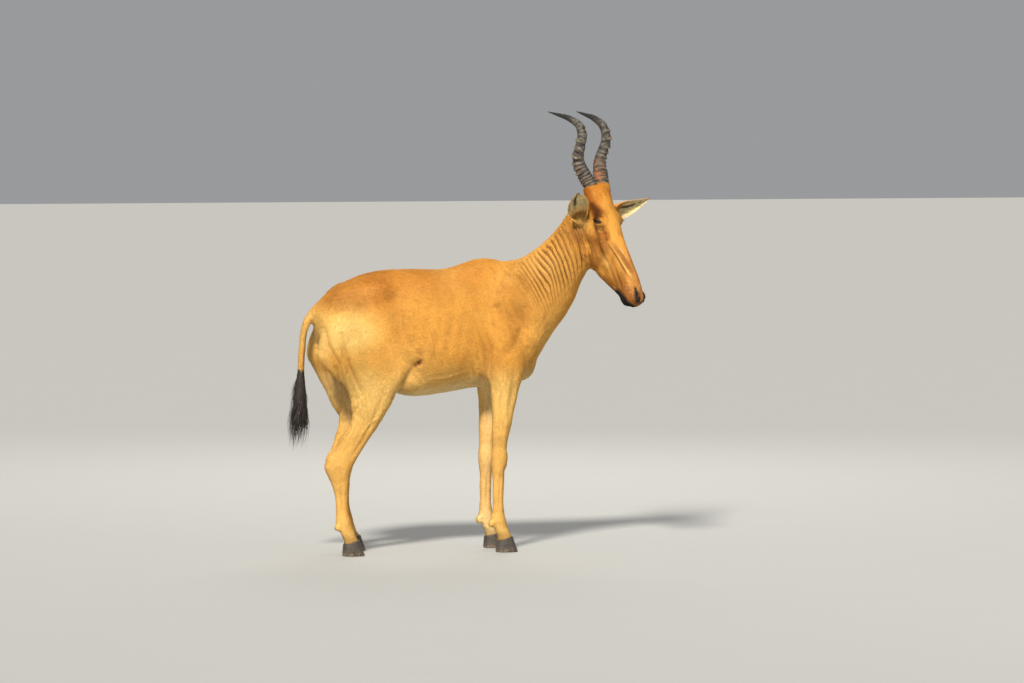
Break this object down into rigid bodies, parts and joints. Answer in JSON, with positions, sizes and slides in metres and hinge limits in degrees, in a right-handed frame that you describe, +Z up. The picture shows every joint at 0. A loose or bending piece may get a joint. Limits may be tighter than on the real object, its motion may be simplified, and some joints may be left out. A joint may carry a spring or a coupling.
{
  "type": "hartebeest",
  "caption": "Life-size standing hartebeest with a long face turned to its right, ringed lyre-shaped horns, sloping back and a black-tufted tail.",
  "frame": {"origin": "bottom centre of the box round the animal, on the ground it stands on", "axes": "+X the way the body faces, +Y its left side, +Z up"},
  "size_m": [1.5844, 0.5476, 1.9132],
  "materials": {
    "hide": "short tawny coat",
    "pale": "short pale coat",
    "face": "short reddish coat",
    "ear": "thin skin with pale hair",
    "horn": "ringed horn",
    "hoof": "dark horn",
    "eye": "wet and dark",
    "hair": "long black hair"
  },
  "bodies": {
    "root": {"ear_left": "ear", "ear_right": "ear", "eye_left": "eye", "eye_right": "eye", "head": "face", "hoof_fore_left_inner": "hoof", "hoof_fore_left_outer": "hoof", "hoof_fore_right_inner": "hoof", "hoof_fore_right_outer": "hoof", "hoof_hind_left_inner": "hoof", "hoof_hind_left_outer": "hoof", "hoof_hind_right_inner": "hoof", "hoof_hind_right_outer": "hoof", "horn_left": "horn", "horn_right": "horn", "leg_fore_left_lower": "pale", "leg_fore_left_upper": "hide", "leg_fore_right_lower": "pale", "leg_fore_right_upper": "hide", "leg_hind_left_lower": "pale", "leg_hind_left_upper": "hide", "leg_hind_right_lower": "pale", "leg_hind_right_upper": "hide", "neck": "hide", "tail": "pale", "tail_tuft": "hair", "torso": "hide"}
  },
  "joints": []
}
